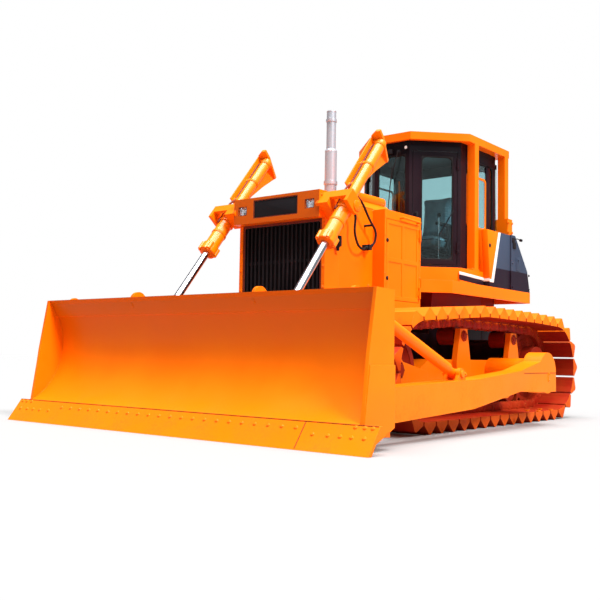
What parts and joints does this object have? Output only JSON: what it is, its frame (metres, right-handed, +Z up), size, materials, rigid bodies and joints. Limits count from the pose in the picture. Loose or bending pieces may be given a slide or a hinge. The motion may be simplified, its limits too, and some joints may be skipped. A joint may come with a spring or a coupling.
{
  "type": "bulldozer",
  "caption": "Low-ground-pressure crawler dozer with a lifting straight blade, wide swamp shoes, and a closed cab under a rollover canopy.",
  "frame": {"origin": "on the ground, on the centreline, halfway between the blade's tip and the drawbar's end", "axes": "+X forward to the blade, +Y to the machine's left, +Z up"},
  "size_m": [5.75, 4.365, 3.36],
  "materials": {
    "body_paint": "faded orange enamel with grime",
    "tank_paint": "dark slate paint, semi-matt",
    "cab_paint": "dark brown paint",
    "worn_iron": "dark red oxide, polished on the wear faces",
    "edge_steel": "scoured steel with a rust film",
    "dark_metal": "matt black",
    "glass": "clear glass",
    "lamp": "pressed lamp glass",
    "chrome": "polished",
    "seat_cover": "light cloth cover",
    "black_plastic": "matt black"
  },
  "bodies": {
    "machine": {"radiator_guard": "body_paint", "hood": "body_paint", "service_boxes": "body_paint", "fenders": "body_paint", "cab_base": "body_paint", "rollover_frame": "body_paint", "cab_roof": "body_paint", "main_frame": "body_paint", "fuel_tank": "tank_paint", "cab_shell": "cab_paint", "track_left": "worn_iron", "track_right": "worn_iron", "sprocket_left": "worn_iron", "sprocket_right": "worn_iron", "idler_left": "worn_iron", "idler_right": "worn_iron", "track_frame_left": "worn_iron", "track_frame_right": "worn_iron", "drawbar": "worn_iron", "grille": "dark_metal", "radiator_core": "dark_metal", "engine_block": "dark_metal", "cab_glass": "glass", "headlamps": "lamp", "exhaust_stack": "chrome", "seat": "seat_cover", "console": "black_plastic", "lift_hoses": "black_plastic"},
    "blade": {"moldboard": "body_paint", "cutting_edge": "edge_steel", "push_arm_left": "body_paint", "push_arm_right": "body_paint", "blade_brace": "body_paint", "tilt_cylinder": "body_paint"},
    "lift_barrel_left": {"lift_barrel_left": "body_paint"},
    "lift_rod_left": {"lift_rod_left": "chrome"},
    "cab_door_left": {"cab_door_left": "cab_paint", "door_glass_left": "glass"},
    "service_door_left": {"service_door_left": "body_paint"},
    "lift_barrel_right": {"lift_barrel_right": "body_paint"},
    "lift_rod_right": {"lift_rod_right": "chrome"},
    "cab_door_right": {"cab_door_right": "cab_paint", "door_glass_right": "glass"},
    "service_door_right": {"service_door_right": "body_paint"}
  },
  "joints": [
    {"name": "blade_lift", "type": "hinge", "parent": "machine", "child": "blade", "pos_m": [-0.913, 0, 0.556], "axis": [0, -1, 0], "range_deg": [-8, 18]},
    {"name": "lift_barrel_left_swing", "type": "hinge", "parent": "machine", "child": "lift_barrel_left", "pos_m": [1.22, 0.768, 2.12], "axis": [0, -1, 0], "range_deg": [-12, 26]},
    {"name": "lift_rod_left_slide", "type": "slide", "parent": "lift_barrel_left", "child": "lift_rod_left", "axis": [0.6346, 0, -0.7728], "range_m": [-0.8, 0.36]},
    {"name": "lift_barrel_right_swing", "type": "hinge", "parent": "machine", "child": "lift_barrel_right", "pos_m": [1.22, -0.768, 2.12], "axis": [0, -1, 0], "range_deg": [-12, 26]},
    {"name": "lift_rod_right_slide", "type": "slide", "parent": "lift_barrel_right", "child": "lift_rod_right", "axis": [0.6346, 0, -0.7728], "range_m": [-0.8, 0.36]},
    {"name": "cab_door_left_hinge", "type": "hinge", "parent": "machine", "child": "cab_door_left", "pos_m": [-1.1954, 0.66878, 2.5], "axis": [0, 0, 1], "range_deg": [0, 80]},
    {"name": "service_door_left_hinge", "type": "hinge", "parent": "machine", "child": "service_door_left", "pos_m": [-0.352, 0.663, 1.72], "axis": [0, 0, 1], "range_deg": [0, 90]},
    {"name": "cab_door_right_hinge", "type": "hinge", "parent": "machine", "child": "cab_door_right", "pos_m": [-1.1954, -0.66878, 2.5], "axis": [0, 0, -1], "range_deg": [0, 80]},
    {"name": "service_door_right_hinge", "type": "hinge", "parent": "machine", "child": "service_door_right", "pos_m": [-0.352, -0.663, 1.72], "axis": [0, 0, -1], "range_deg": [0, 90]}
  ],
  "couplings": [
    {"joint": "lift_barrel_left_swing", "follows": "blade_lift", "ratio": 1.4},
    {"joint": "lift_rod_left_slide", "follows": "blade_lift", "m_per_rad": -2.53},
    {"joint": "lift_barrel_right_swing", "follows": "blade_lift", "ratio": 1.4},
    {"joint": "lift_rod_right_slide", "follows": "blade_lift", "m_per_rad": -2.53}
  ]
}
